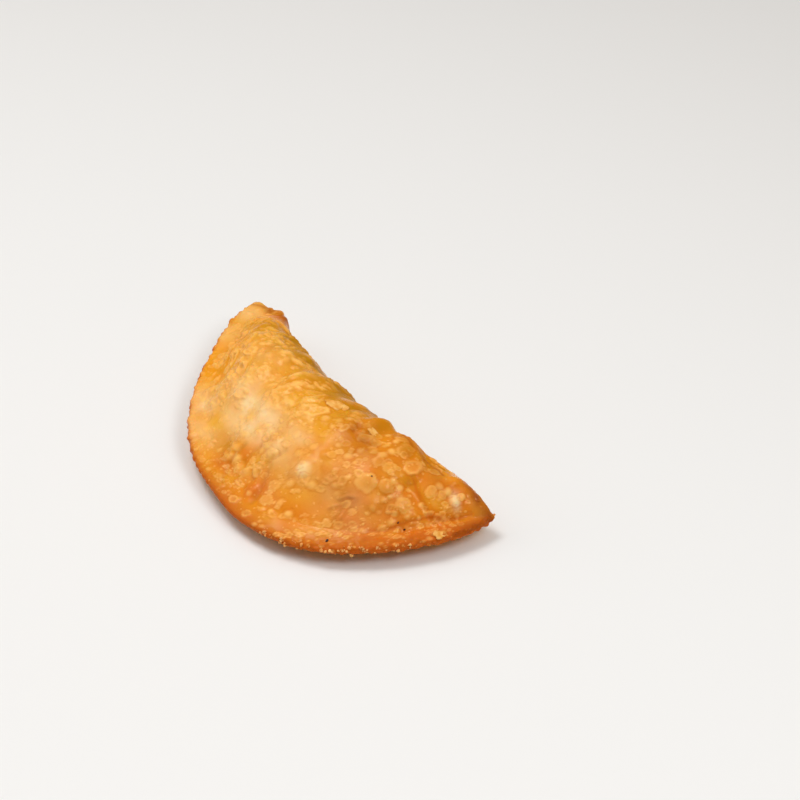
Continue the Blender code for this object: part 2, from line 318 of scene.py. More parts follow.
fryBlisters = {
    # kind, x, y, radius, rise, paleness, stretch, heading of the stretch
    "named": (
        ("ring", -31.1, 1.8, 3.2, 0.22, 0.50, 1.3, -1.3),
        ("dome", -22.0, 5.7, 2.0, 0.22, 0.50, 1.0, 0.0),
        ("dome", -16.1, 8.0, 1.6, 0.22, 0.45, 1.2, 0.5),
        ("ring", -16.2, -2.0, 3.4, 0.25, 0.50, 1.6, 1.0),
        ("disc", -67.0, 16.5, 1.7, 0.30, 0.60, 2.8, -1.2),
        ("dome", -3.1, -13.4, 2.6, 0.28, 0.90, 1.2, 1.0),
        ("disc", 0.6, -10.2, 2.8, 0.20, 0.60, 1.3, 1.0),
        ("ring", 2.4, -4.4, 6.0, 0.12, 0.22, 1.2, 0.8),
        ("disc", -36.4, -13.3, 1.3, 0.20, 0.95, 2.2, -0.9),
        ("dome", 34.8, -14.0, 3.6, 0.20, 1.00, 1.0, 0.0),
        ("ring", 34.8, -14.0, 5.4, 0.10, 0.35, 1.0, 0.0),
        ("dome", 46.5, 6.3, 1.7, 0.25, 0.60, 1.0, 0.0),
        ("disc", 50.3, 5.8, 2.2, 0.25, 0.60, 1.0, 0.0),
        ("disc", 53.5, 7.7, 2.2, 0.22, 0.60, 1.2, 1.0),
        ("disc", 51.0, 15.0, 2.2, 0.25, 0.60, 1.3, 1.0),
        ("dome", 46.6, 11.5, 1.3, 0.22, 0.60, 1.0, 0.0),
        ("ring", 45.9, 0.3, 1.6, 0.20, 0.50, 1.0, 0.0),
        ("ring", 57.3, 14.8, 3.0, 0.28, 0.70, 1.1, 1.0),
        ("disc", 52.8, -1.0, 3.4, 0.22, 0.70, 1.1, 1.0),
        ("disc", 57.6, 3.9, 2.6, 0.20, 0.60, 1.1, 0.0),
        ("ring", 42.9, -10.9, 1.3, 0.22, 0.60, 1.0, 0.0),
        ("ring", 47.3, -6.9, 1.8, 0.20, 0.60, 1.0, 0.0),
        ("dome", 70.0, 22.8, 2.2, 0.50, 1.00, 1.2, 0.8),
        ("disc", 65.5, 16.5, 2.2, 0.25, 0.70, 1.0, 0.0),
        ("dome", 70.2, 25.9, 1.4, 0.30, 0.90, 1.0, 0.0),
        ("disc", 64.5, 6.5, 2.8, 0.25, 0.70, 1.0, 0.0),
        ("ring", 62.7, 2.1, 1.7, 0.22, 0.50, 1.0, 0.0),
        ("disc", 1.3, -26.1, 1.3, 0.22, 0.70, 2.0, 0.5),
        ("ring", 6.5, -32.3, 1.4, 0.22, 0.60, 1.3, 0.5),
        ("dome", 16.0, -23.2, 1.8, 0.25, 0.60, 1.0, 0.0),
        ("disc", 29.0, -23.0, 2.4, 0.22, 0.65, 1.0, 0.0),
        ("disc", 31.5, -27.0, 2.4, 0.22, 0.65, 1.4, 0.9),
        ("dome", 36.1, -24.6, 1.6, 0.25, 0.70, 1.0, 0.0),
        ("dome", 42.1, -24.8, 1.9, 0.28, 0.90, 1.0, 0.0),
        ("dome", 36.4, -28.4, 1.4, 0.25, 0.85, 1.0, 0.0),
        ("ring", 20.6, -34.1, 1.8, 0.25, 0.70, 1.0, 0.0),
        ("dome", 23.6, -29.1, 1.5, 0.25, 0.75, 1.0, 0.0),
        ("ring", 30.4, -34.3, 1.7, 0.25, 0.60, 1.0, 0.0),
        ("dome", 38.7, -15.8, 1.2, 0.30, 0.95, 1.0, 0.0),
        ("ring", 59.5, -10.5, 1.6, 0.25, 0.70, 1.0, 0.0),
        ("ring", 56.6, -14.2, 1.5, 0.22, 0.60, 1.0, 0.0),
        ("disc", 35.8, 7.6, 1.4, 0.40, 0.70, 1.4, 0.9),
        ("disc", 39.4, 7.2, 1.9, 0.45, 0.85, 1.4, 0.8),
        ("disc", 43.0, 8.8, 1.6, 0.40, 0.65, 1.5, 0.6),
        ("ring", 41.2, 11.0, 1.5, 0.25, 0.50, 1.2, 0.4),
        ("disc", 46.6, 16.6, 1.3, 0.30, 1.00, 2.6, 0.7),
        ("disc", 50.6, 17.4, 1.1, 0.28, 0.90, 2.2, 0.7),
        ("disc", 60.4, 22.0, 1.5, 0.32, 1.00, 2.4, 0.9),
        ("dome", 57.0, 19.6, 1.1, 0.25, 0.80, 1.4, 0.9),
        ("dome", 66.8, 12.0, 1.3, 0.25, 0.80, 1.0, 0.0),
        ("dome", 68.8, 9.6, 1.0, 0.22, 0.80, 1.0, 0.0),
        ("disc", 67.4, 19.4, 1.5, 0.22, 0.80, 1.2, 0.5),
        ("dome", 72.0, 17.6, 1.2, 0.24, 0.80, 1.0, 0.0),
    ),
    # a row of little rings on the sealed band:
    # first place, last place, count, radii, rise, paleness, scatter
    "bandRow": ((45.5, -32.6), (60.5, -14.0), 10, (0.8, 1.2), 0.28, 0.8, 0.5),
    # strewn: reach in x, reach from edge (0) to fold (1), count,
    # radii, steepness, paleness, stretch
    "topZones": (
        ((12.0, 75.0), (0.17, 0.99), 300, (0.8, 1.8), 0.12, 0.85, 1.3),   # smooth low side
        ((12.0, 75.0), (0.15, 0.99), 200, (0.3, 0.7), 0.26, 1.00, 1.2),
        ((-68.0, 20.0), (0.18, 0.99), 210, (1.3, 2.3), 0.25, 0.95, 2.4),  # crumpled raised side
        ((-77.0, 20.0), (0.16, 0.99), 480, (0.6, 1.2), 0.42, 1.00, 2.2),
        ((-77.0, 20.0), (0.10, 0.99), 200, (0.3, 0.6), 0.34, 1.00, 1.5),
        ((-54.0, -14.0), (0.12, 0.50), 110, (0.5, 1.2), 0.42, 1.00, 2.2),
        ((36.0, 77.0), (0.02, 0.18), 110, (0.5, 1.3), 0.24, 0.55, 1.3),   # sealed band
        ((58.0, 77.0), (0.25, 0.90), 50, (0.4, 1.1), 0.15, 0.65, 1.2),    # low tip
        ((-60.0, 36.0), (0.05, 0.17), 90, (0.6, 1.3), 0.24, 0.50, 1.6),   # sealed band
    ),
    "undersideZones": (
        ((-70.0, 70.0), (0.10, 0.95), 90, (1.8, 3.4), 0.10, 0.35, 1.3),
        ((-70.0, 72.0), (0.10, 0.95), 420, (0.7, 1.7), 0.15, 0.50, 1.3),
    ),
    "kinds": (("dome", 0.50), ("disc", 0.28), ("ring", 0.22)),
    "riseSpread": (0.6, 1.3),
    "palenessSpread": (0.5, 1.2),
    "stretchHeading": (0.9, 0.5),         # mean, spread
    "seed": 21,
    "clusterLength": 15.0,
    "clusters": (0.6, 0.6, 0.08),         # evenness, strength, least
    "spacing": 0.85,
    "shadeOutlines": (0.15, 1.0, -10.0, 30.0),  # painted shade round each blister's foot: strength left, strength right, from x, to x
    "shadeOutlineRing": (1.12, 0.13),          # place and width, in radii
    "reach": 1.5,                         # how far a blister is felt, in radii
    "warp": 0.09,
    "warpLength": 3.0,
}

# Height of a blister, and then the paleness of its top, at d radii from its middle
blisterShapes = {
    "dome": lambda d: np.clip(1.0 - d**2, 0.0, 1.0) ** 1.5,
    "disc": lambda d: 1.0 - smoothStep(0.5, 1.0, d),
    "ring": lambda d: bell(d, 0.78, 0.20) - 0.25 * bell(d, 0.0, 0.4),
}
blisterTops = {
    "dome": lambda d: 1.0 - smoothStep(0.3, 1.0, d),
    "disc": lambda d: (1.0 - smoothStep(0.8, 1.05, d)) * (0.5 + 0.5 * smoothStep(0.45, 0.85, d)),
    "ring": lambda d: bell(d, 0.78, 0.18) + 0.3 * (1.0 - smoothStep(0.6, 0.8, d)),
}


def fineRelief(points, normals, shares, sides, areas, masks):
    b = fryBlisters
    warp = 1.0 + b["warp"] * ripple(points, b["warpLength"], b["seed"])
    tree = KDTree(len(points))
    for number, point in enumerate(points):
        tree.insert(point, number)
    tree.balance()

    def raiseBlister(height, kind, place, radius, rise, paleness, stretch, heading):
        reach = b["reach"] * radius * stretch
        near = np.array([found[1] for found in tree.find_range(place, reach)])
        offset = points[near] - place
        lengthwise = offset @ np.array([math.cos(heading), math.sin(heading), 0.0])
        d = np.sum(offset**2, axis=1) - (1.0 - 1.0 / stretch**2) * lengthwise**2
        d = np.sqrt(np.maximum(d, 0.0)) / (radius * warp[near])
        raised = rise * blisterShapes[kind](d)
        height[near] = np.maximum(height[near], raised) + np.minimum(raised, 0.0)
        masks["pale"][near] = np.maximum(masks["pale"][near], paleness * blisterTops[kind](d))
        # a darker ring round the foot of each blister: painted shade
        faint, full, fromX, toX = b["shadeOutlines"]
        outlineShade = paleness * (faint + (full - faint) * smoothStep(fromX, toX, place[0]))
        outlineShade = outlineShade * bell(d, *b["shadeOutlineRing"])
        masks["creviceShade"][near] = np.maximum(masks["creviceShade"][near], outlineShade)

    height = np.zeros(len(points))
    for kind, x, y, *sizes in b["named"]:
        raiseBlister(height, kind, topPlace(points, normals, x, y), *sizes)
    draw = np.random.default_rng(b["seed"])
    start, end, count, radii, rise, paleness, scatter = b["bandRow"]
    for part in np.linspace(0.0, 1.0, count):
        x, y = np.array(start) * (1.0 - part) + np.array(end) * part + draw.normal(0.0, scatter, 2)
        place = topPlace(points, normals, x, y)
        raiseBlister(height, "ring", place, draw.uniform(*radii), rise, paleness, 1.0, 0.0)
    kinds, odds = zip(*b["kinds"])
    even, strength, least = b["clusters"]
    clusters = even + strength * ripple(points, b["clusterLength"], b["seed"] + 1)
    clusters = np.clip(clusters, least, None)
    for side, zones in ((1, b["topZones"]), (-1, b["undersideZones"])):
        for reachX, reachShare, count, radii, steepness, paleness, stretch in zones:
            inZone = (points[:, 0] > reachX[0]) & (points[:, 0] < reachX[1]) & (sides == side)
            inZone &= (shares > reachShare[0]) & (shares < reachShare[1])
            chance = np.where(inZone, areas * clusters, 0.0)
            layer = np.zeros(len(points))
            taken = [np.full(4, np.inf)]  # x, y, z and radius: the first is out of reach
            for place in points[draw.choice(len(points), count, p=chance / chance.sum())]:
                radius = draw.uniform(*radii)
                others = np.array(taken)
                gaps = np.linalg.norm(others[:, :3] - place, axis=1)
                if np.any(gaps < b["spacing"] * (others[:, 3] + radius)):
                    continue
                taken.append(np.append(place, radius))
                kind = draw.choice(kinds, p=odds)
                rise = steepness * radius * draw.uniform(*b["riseSpread"])
                shade = paleness * draw.uniform(*b["palenessSpread"])
                drawnOut = draw.uniform(0.5 + 0.5 * stretch, stretch)
                heading = draw.normal(*b["stretchHeading"])
                raiseBlister(layer, kind, place, radius, rise, shade, drawnOut, heading)
            height += layer
    return height


# Lines pressed into or raised on the top skin: mask, strength, rise, width, places along the line
skinLines = (
    ("toast", 0.90, -0.45, 0.7, ((60.0, 13.2), (63.7, 12.2), (68.2, 12.4), (70.5, 12.9))),
    ("toast", 0.90, -0.35, 0.6,
     ((63.3, -8.6), (66.1, -2.6), (67.8, 4.3), (69.8, 12.1),
      (71.9, 16.4), (73.8, 23.1), (74.7, 26.9))),
    ("toast", 0.95, 0.35, 1.3,
     ((65.0, -9.9), (67.4, -6.0), (69.2, -2.6), (71.3, 1.6), (73.0, 5.2))),
    ("olive", 0.75, 0.45, 0.5,
     ((50.7, -10.3), (52.3, -7.3), (54.2, -5.8), (54.7, -7.7), (54.6, -10.9), (55.4, -12.6))),
    ("olive", 0.70, 0.40, 0.5,
     ((50.4, -14.2), (51.8, -11.6), (52.8, -9.0), (53.0, -12.0), (54.0, -14.6))),
    # brown along these pressed creases darkens them: painted shade
    ("brownAndShade", 0.32, -0.55, 1.1, ((5.1, -20.4), (4.5, -27.2), (9.8, -32.6))),
    ("brownAndShade", 0.24, -0.45, 0.9, ((22.7, -13.9), (20.4, -19.4), (19.5, -25.8))),
    ("brownAndShade", 0.30, -0.50, 1.3, ((21.8, -20.2), (25.0, -25.1), (27.3, -30.5))),
    ("brownAndShade", 0.20, -0.35, 0.9, ((14.6, -12.6), (11.0, -18.2), (10.4, -24.0))),
    ("pale", 0.60, 0.45, 0.6,
     ((41.2, 18.6), (46.0, 19.2), (52.3, 19.8), (57.0, 22.0), (60.0, 24.6))),
    ("olive", 0.90, -0.20, 0.6, ((42.0, 21.2), (48.0, 21.8), (54.0, 23.0), (60.0, 26.4))),
    # brown along this pressed line: painted shade
    ("brownAndShade", 0.50, -0.20, 0.6,
     ((44.0, 18.6), (49.6, 18.8), (54.8, 20.6), (58.0, 22.8), (62.4, 24.2))),
    ("pale", 0.75, 0.55, 0.6, ((35.2, 11.6), (37.6, 10.7), (40.2, 9.4), (43.2, 8.6))),
    # brown in the hollow beside the lump: painted shade
    ("brownAndShade", 0.40, -0.35, 0.7, ((34.4, 5.6), (38.6, 4.8), (42.6, 6.2), (45.4, 8.2))),
    ("brownAndShade", 0.45, -0.30, 0.6, ((34.6, 9.4), (38.0, 9.6), (41.4, 9.2))),
    ("brownAndShade", 0.50, 0.15, 0.8, ((-76.6, 30.3), (-74.4, 33.0), (-65.2, 36.0), (-58.4, 34.1))),
    ("pale", 0.60, 0.15, 0.9, ((-21.7, -13.4), (-18.6, -11.2), (-16.2, -9.8))),
    ("pale", 0.50, 0.12, 0.8, ((-27.5, -13.8), (-24.0, -10.4), (-22.4, -8.4))),
)


def pressLines(points, sides, masks):
    height = np.zeros(len(points))
    for name, strength, rise, width, places in skinLines:
        distance = np.full(len(points), np.inf)
        for start, end in zip(places, places[1:]):
            run = np.array(end) - start
            part = np.clip((points[:, :2] - start) @ run / (run @ run), 0.0, 1.0)
            apart = points[:, :2] - start - part[:, None] * run
            distance = np.minimum(distance, np.hypot(apart[:, 0], apart[:, 1]))
        line = bell(distance, 0.0, width) * (sides > 0)
        height += rise * line
        masks[name] = np.maximum(masks[name], strength * line)
    return height


crust = {
    "rings": 380,
    "stationsAround": 260,
    "topSteps": 208,
    # places along x, and how far inland the dark rim reaches there, in widths of the sealed band
    "darkRim": ((-20.0, 15.0, 45.0, 70.0), (0.45, 1.0, 1.0, 1.6)),
}


# Rings of stations round the half moon, closed by one point at each tip
def wrapRings():
    rings, around = crust["rings"], crust["stationsAround"]
    along = np.repeat(np.arange(1, rings) / rings, around)
    station = np.tile(np.arange(around), rings - 1)
    onTop = station <= crust["topSteps"]
    below = (around - station) / (around - crust["topSteps"])
    share = np.where(onTop, station / crust["topSteps"], below)
    side = np.where(onTop, 1, -1)
    along = np.concatenate([along, [0.0, 1.0]])
    share = np.concatenate([share, [0.5, 0.5]])
    side = np.concatenate([side, [1, 1]])
    raisedTip, lowTip = len(along) - 2, len(along) - 1

    here = np.arange(around)
    following = (here + 1) % around
    lastRing = (rings - 2) * around
    faces = []
    for ring in range(rings - 2):
        start = ring * around
        corners = (here, following, following + around, here + around)
        faces += (np.stack(corners, axis=1) + start).tolist()
    faces += [[raisedTip, int(j), int(i)] for i, j in zip(here, following)]
    faces += [[lowTip, int(i), int(j)] for i, j in zip(here + lastRing, following + lastRing)]
    mesh = bpy.data.meshes.new("crustSkin")
    points = skinPoint(along, side, share)
    mesh.from_pydata((points * metresPerMm).tolist(), [], faces)
    mesh.update()
    return mesh, points, share, side


# Tone patches on the crust: x, y, reach along x, reach along y, strength. Toast, olive and part of
# the brown are fry colour; the highlight patches are a painted highlight, part of the brown is
# painted shade, and dry sets only gloss
crustTones = {
    "toast": (
        (58.0, -4.0, 26.0, 30.0, 0.65),
        (74.0, 4.0, 5.0, 22.0, 0.90),
        (4.0, -27.0, 8.0, 4.5, 0.85),
        (6.0, -22.0, 7.0, 4.0, 0.70),
        (26.0, -28.0, 13.0, 7.0, 0.80),
        (30.0, -35.0, 34.0, 5.0, 0.50),
        (45.0, -24.0, 14.0, 9.0, 0.55),
        (35.0, 7.0, 5.0, 4.0, 0.50),
        (-61.0, 30.0, 9.0, 6.0, 0.75),
        (71.0, 21.0, 10.0, 11.0, 0.95),
        (61.0, 13.0, 8.0, 9.0, 0.75),
        (-52.0, 6.0, 9.0, 7.0, 0.25),
        (-12.0, -31.0, 22.0, 4.0, 0.30),
    ),
    # painted highlight: pale patches in the base colour that stand in for the broad oily sheen and
    # for the glints on the domes at (34.4, -13.8) and (70, 22.9)
    "paintedHighlight": (
        (-3.0, -12.0, 16.0, 6.0, 0.88),
        (-16.0, -8.0, 12.0, 7.0, 0.45),
        (22.0, -8.0, 9.0, 4.0, 0.35),
        (20.0, -14.0, 9.0, 5.0, 0.35),
        (-26.0, 5.0, 12.0, 7.0, 0.12),
        (34.4, -13.8, 2.6, 2.4, 1.00),
        (34.0, -14.0, 6.0, 5.0, 0.25),
        (70.0, 22.9, 1.8, 1.6, 1.00),
        (-66.0, 12.0, 7.0, 7.0, 0.30),
        (-33.0, -16.0, 11.0, 7.0, 0.50),
        (-20.0, -24.0, 12.0, 6.0, 0.30),
        (-74.0, 27.0, 8.0, 6.0, 0.35),
        (50.0, -9.0, 12.0, 8.0, 0.18),
    ),
    "olive": (
        (-25.0, 22.0, 40.0, 9.0, 0.80),
        (14.0, 21.0, 28.0, 13.0, 1.00),
        (45.0, 20.5, 12.0, 6.5, 1.00),
        (52.0, 17.0, 6.0, 4.0, 0.80),
        (36.0, 15.0, 6.0, 4.5, 0.90),
        (54.0, 21.5, 9.0, 2.6, 1.00),
        (-5.0, -23.0, 7.0, 3.5, 0.50),
        (-70.0, 34.0, 9.0, 2.5, 0.70),
    ),
    # fry browning, and painted shade: in the hollow beside the lump near (33, 7.6), in the dip
    # near (24, -20) and on the shaded fold side near (62.5, 21)
    "brownAndShade": (
        (34.0, 6.5, 2.8, 2.0, 0.75),
        (38.0, 6.0, 11.0, 7.0, 0.44),
        (24.0, -20.0, 14.0, 8.0, 0.10),
        (50.0, -11.0, 9.0, 7.0, 0.26),
        (61.0, 4.0, 5.0, 4.0, 0.16),
        (62.5, 21.0, 5.0, 3.5, 0.26),
        (32.8, 8.4, 2.6, 2.2, 0.70),
        (-60.0, 35.0, 6.0, 3.5, 0.80),
        (79.5, 27.0, 3.0, 12.0, 0.80),
        (68.5, 30.0, 3.2, 2.2, 0.60),
        (72.0, 30.5, 3.6, 2.8, 0.85),
        (76.0, 32.0, 4.2, 3.6, 0.90),
        (9.0, -30.0, 7.0, 5.0, 0.18),
        (-70.0, 34.0, 3.0, 1.5, 0.60),
        (2.0, -28.5, 4.0, 2.5, 0.20),
    ),
    "dry": (
        (-42.0, 2.0, 12.0, 16.0, 1.00),
        (-58.0, 24.0, 12.0, 12.0, 0.80),
        (41.0, 8.0, 14.0, 9.0, 0.90),
        (30.0, -32.0, 40.0, 5.0, 0.60),
        (71.0, 19.0, 9.0, 7.0, 0.80),
        (43.0, -25.0, 14.0, 6.0, 0.80),
        (-64.0, 12.0, 18.0, 24.0, 0.85),
        (-50.0, 25.0, 16.0, 10.0, 0.95),
        (-67.0, 31.0, 12.0, 7.0, 0.90),
        (-28.0, -18.0, 22.0, 10.0, 0.70),
        (36.0, -14.0, 7.0, 7.0, 0.60),
        (25.0, -3.6, 9.0, 8.0, 0.80),
        (40.0, -3.0, 9.0, 6.0, 0.80),
        (50.0, -11.0, 8.0, 7.0, 0.70),
        (8.0, -22.0, 10.0, 7.0, 0.70),
    ),
    "overFold": (0.45, 1.0),              # on the underside, tones fade between these shares
    "unevenness": 0.22,
    "unevenLength": 11.0,
    "seed": 5,
}


def tonePatches(points, sides, shares, name):
    value = np.zeros(len(points))
    for x, y, reachX, reachY, strength in crustTones[name]:
        apart = ((points[:, 0] - x) / reachX) ** 2 + ((points[:, 1] - y) / reachY) ** 2
        value = np.maximum(value, strength * np.exp(-apart))
    return value * np.where(sides > 0, 1.0, smoothStep(*crustTones["overFold"], shares))


# The edge is rough all round, and the fold's own edge is fried in dark flecks towards the low tip
craggyEdge = {
    "roughHeight": 0.20,
    "roughLength": 2.4,
    "roughShare": (0.05, 0.11),
    "fleckStrength": 0.80,
    "fleckLength": 4.0,
    "flecks": (0.6, 0.5),                 # evenness, strength of the pattern
    "fleckShare": (0.80, 0.93),
    "fleckX": (50.0, 73.0),
    "calmX": (-28.0, -8.0, 32.0, 50.0),   # the front of the edge is smoother
    "calmness": 0.75,
    "seed": 61,
}


def roughenEdge(points, shares, masks):
    e = craggyEdge
    even, strength = e["flecks"]
    flecks = np.clip(even + strength * ripple(points, e["fleckLength"], e["seed"]), 0.0, 1.0)
    flecks *= smoothStep(*e["fleckShare"], shares) * smoothStep(*e["fleckX"], points[:, 0])
    masks["brownAndShade"] = np.maximum(masks["brownAndShade"], e["fleckStrength"] * flecks)
    calmFrom, calm, calmAgain, calmTo = e["calmX"]
    calmed = smoothStep(calmFrom, calm, points[:, 0])
    calmed *= 1.0 - smoothStep(calmAgain, calmTo, points[:, 0])
    nearEdge = (1.0 - smoothStep(*e["roughShare"], shares)) * (1.0 - e["calmness"] * calmed)
    nearEdge = np.maximum(nearEdge, flecks)
    return e["roughHeight"] * ripple(points, e["roughLength"], e["seed"] + 1) * nearEdge


def writePoints(mesh, points):
    mesh.vertices.foreach_set("co", (points * metresPerMm).ravel())
    mesh.update()


def readNormals(mesh):
    normals = np.empty(3 * len(mesh.vertices))
    mesh.vertex_normals.foreach_get("vector", normals)
    return normals.reshape(-1, 3)


# Skin area that each point stands for, so that a draw over points is even over the skin
def cornerAreas(mesh):
    corners = np.empty(len(mesh.loops), dtype=np.int32)
    mesh.loops.foreach_get("vertex_index", corners)
    faceAreas = np.empty(len(mesh.polygons))
    faceSizes = np.empty(len(mesh.polygons), dtype=np.int32)
    mesh.polygons.foreach_get("area", faceAreas)
    mesh.polygons.foreach_get("loop_total", faceSizes)
    return np.bincount(corners, np.repeat(faceAreas / faceSizes, faceSizes), len(mesh.vertices))


def makeCrust():
    mesh, points, share, side = wrapRings()
    if readNormals(mesh)[np.argmax(points[:, 2]), 2] < 0.0:
        mesh.flip_normals()
    normals = readNormals(mesh)
    centre = 0.5 * (points.min(axis=0) + points.max(axis=0))
    points = points - centre
    halfLength = 0.5 * (halfMoon["lowTipX"] - halfMoon["raisedTipX"])
    tipRoom = smoothStep(0.0, largeRelief["tipFade"], halfLength - np.abs(points[:, 0]))
    formed = points + normals * (formRelief(points, normals, share, centre) * tipRoom)[:, None]

    # The solid says where the form stands
    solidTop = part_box("cheburek")[1][2] / metresPerMm
    formCentre = 0.5 * (formed.min(axis=0) + formed.max(axis=0))
    formed += np.array([-formCentre[0], -formCentre[1], solidTop - formed[:, 2].max()])
    print("form ready,", formed.min(axis=0).round(2), "to", formed.max(axis=0).round(2), "mm")

    masks = {name: np.zeros(len(points)) for name in ("pale", "creviceShade")}
    for number, name in enumerate(("toast", "paintedHighlight", "olive", "brownAndShade", "dry")):
        uneven = ripple(points, crustTones["unevenLength"], crustTones["seed"] + number)
        value = tonePatches(points, side, share, name)
        masks[name] = np.clip(value * (1.0 + crustTones["unevenness"] * uneven), 0.0, 1.0)
    writePoints(mesh, formed)
    formedNormals = readNormals(mesh)
    height = fineRelief(points, normals, share, side, cornerAreas(mesh), masks)
    height += pressLines(points, side, masks) + roughenEdge(points, share, masks)
    finished = formed + formedNormals * height[:, None]
    finished[:, 2] = np.maximum(finished[:, 2], 0.0)
    writePoints(mesh, finished)
    rimReach = halfMoon["bandShare"] * np.interp(points[:, 0], *crust["darkRim"])
    masks["rim"] = 1.0 - smoothStep(0.0, rimReach, share)
    for name, values in masks.items():
        attribute = mesh.attributes.new(name, "FLOAT", "POINT")
        attribute.data.foreach_set("value", values.astype(np.float32))
    mesh.shade_smooth()
    skin = bpy.data.objects.new("crustSkin", mesh)
    bpy.context.scene.collection.objects.link(skin)
    return skin, {"points": finished, "normals": readNormals(mesh), "share": share, "side": side}


# Where the finished crust stands, and which way it faces, at a place seen from above
def onTop(ground, x, y):
    gap = np.hypot(ground["points"][:, 0] - x, ground["points"][:, 1] - y)
    nearest = np.argmin(np.where(ground["side"] > 0, gap, np.inf))
    return Vector(ground["points"][nearest]), Vector(ground["normals"][nearest])


def newPiece(name, shape, material):
    mesh = bpy.data.meshes.new(name)
    shape.to_mesh(mesh)
    shape.free()
    mesh.transform(Matrix.Scale(metresPerMm, 4))
    mesh.shade_smooth()
    mesh.materials.append(material)
    piece = bpy.data.objects.new(name, mesh)
    bpy.context.scene.collection.objects.link(piece)
    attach(piece, "root")
    return piece


grains = {
    "subdivisions": 2,
    "stretch": (0.5, 1.7),
    "bend": 2.0,
    "wobble": 0.6,
}


# A lumpy grain: a small ball, stretched, turned and bent
def addGrain(shape, draw, place, size, unevenness):
    ball = bmesh.ops.create_icosphere(shape, subdivisions=grains["subdivisions"], radius=1.0)
    stretch = Vector(draw.uniform(*grains["stretch"], 3))
    turn = Quaternion(draw.normal(size=4)).normalized()
    bend = Vector(draw.normal(size=3)) * grains["bend"]
    for vertex in ball["verts"]:
        wobble = draw.random() * grains["wobble"]
        lump = 1.0 + unevenness * math.sin(bend.dot(vertex.co) + wobble)
        vertex.co = Vector(place) + turn @ (vertex.co * stretch * lump * size)


rimCrumbs = {
    # reach along x, reach from edge (0) to fold (1), clusters
    "strips": (
        ((38.0, 75.0), (0.0, 0.04), 34),
        ((52.0, 79.0), (0.96, 1.0), 16),
    ),
    "perCluster": (1, 4),
    "spread": 0.9,
    "size": (0.14, 0.44),
    "unevenness": 0.35,
    "standOff": 0.2,                      # in sizes of the grain
    "seed": 31,
}


def makeRimCrumbs(ground, material):
    c = rimCrumbs
    draw = np.random.default_rng(c["seed"])
    x, share = ground["points"][:, 0], ground["share"]
    starts = []
    for reachX, reachShare, clusters in c["strips"]:
        onStrip = (x > reachX[0]) & (x < reachX[1])
        onStrip &= (share >= reachShare[0]) & (share < reachShare[1])
        starts += draw.choice(np.flatnonzero(onStrip), clusters).tolist()
    shape = bmesh.new()
    for number in starts:
        for grain in range(draw.integers(*c["perCluster"], endpoint=True)):
            size = draw.uniform(*c["size"])
            wander = draw.normal(0.0, c["spread"], 3) * (grain > 0)
            apart = np.linalg.norm(ground["points"] - ground["points"][number] - wander, axis=1)
            nearest = np.argmin(apart)
            place = ground["points"][nearest] + ground["normals"][nearest] * c["standOff"] * size
            addGrain(shape, draw, place, size, c["unevenness"])
    return newPiece("rimCrumbs", shape, material)


charSpecks = {
    # x, y, radius
    "places": (
        (58.7, -20.2, 0.42),
        (68.5, 4.2, 0.50),
        (66.4, 2.8, 0.34),
        (53.9, 0.6, 0.30),
    ),
    "unevenness": 0.1,
    "seed": 41,
}


def makeSpecks(ground, material):
    draw = np.random.default_rng(charSpecks["seed"])
    shape = bmesh.new()
    for x, y, radius in charSpecks["places"]:
        addGrain(shape, draw, onTop(ground, x, y)[0], radius, charSpecks["unevenness"])
    return newPiece("charSpecks", shape, material)


tornFlakes = {
    # x, y, radius, stretch, heading, lift, turn of the lifted side
    "scraps": (
        (18.2, 8.8, 2.3, 1.5, 0.9, 0.5, 2.6),
        (20.6, 11.0, 1.1, 1.2, 2.2, 0.4, 0.4),
        (39.0, 10.6, 1.3, 1.6, 0.5, 0.4, 2.0),
        (76.3, 12.6, 1.5, 1.7, 1.4, 0.2, 0.2),
    ),
    "rings": 5,
    "turns": 28,
    "tears": ((3, 0.16), (5, 0.10), (9, 0.07)),  # waves round the edge, depth
    "curl": (4, 0.12),                    # waves round the edge, height
    "standOff": 0.35,
    "lowest": -0.3,                       # from the stand-off
    "thickness": 0.25,
    "seed": 51,
}


# A thin torn scrap of skin: rings of points round its middle, an uneven edge, one side lifted
def makeFlakes(ground, material):
    t = tornFlakes
    draw = np.random.default_rng(t["seed"])
    rings, turns = t["rings"], t["turns"]
    curls, curlHeight = t["curl"]
    shape = bmesh.new()
    for x, y, radius, stretch, heading, lift, liftTurn in t["scraps"]:
        place, normal = onTop(ground, x, y)
        forward = Vector((math.cos(heading), math.sin(heading), 0.0))
        forward = (forward - normal * forward.dot(normal)).normalized()
        sideways = normal.cross(forward)
        phases = draw.uniform(0.0, 6.28, 4)  # within a full turn: three tears and the curl
        middle = shape.verts.new(place + normal * t["standOff"])
        previous = None
        for ring in range(1, rings + 1):
            outward = ring / rings
            loop = []
            for turn in range(turns):
                angle = 2.0 * math.pi * turn / turns
                tear = sum(depth * math.sin(waves * angle + phase)
                           for (waves, depth), phase in zip(t["tears"], phases))
                reach = radius * outward * (1.0 + tear * outward)
                rise = lift * outward**2 * math.cos(angle - liftTurn)
                rise += curlHeight * math.sin(curls * angle + phases[-1]) * outward
                spot = place + forward * (reach * stretch * math.cos(angle))
                spot += sideways * (reach * math.sin(angle))
                spot += normal * (t["standOff"] + max(rise, t["lowest"]))
                loop.append(shape.verts.new(spot))
            for turn in range(turns):
                after = (turn + 1) % turns
                if previous is None:
                    shape.faces.new((middle, loop[turn], loop[after]))
                else:
                    shape.faces.new((previous[turn], loop[turn], loop[after], previous[after]))
            previous = loop
    piece = newPiece("tornFlakes", shape, material)
    solidify = piece.modifiers.new("thickness", "SOLIDIFY")
    solidify.thickness = t["thickness"] * metresPerMm
    solidify.offset = -1.0
    return piece


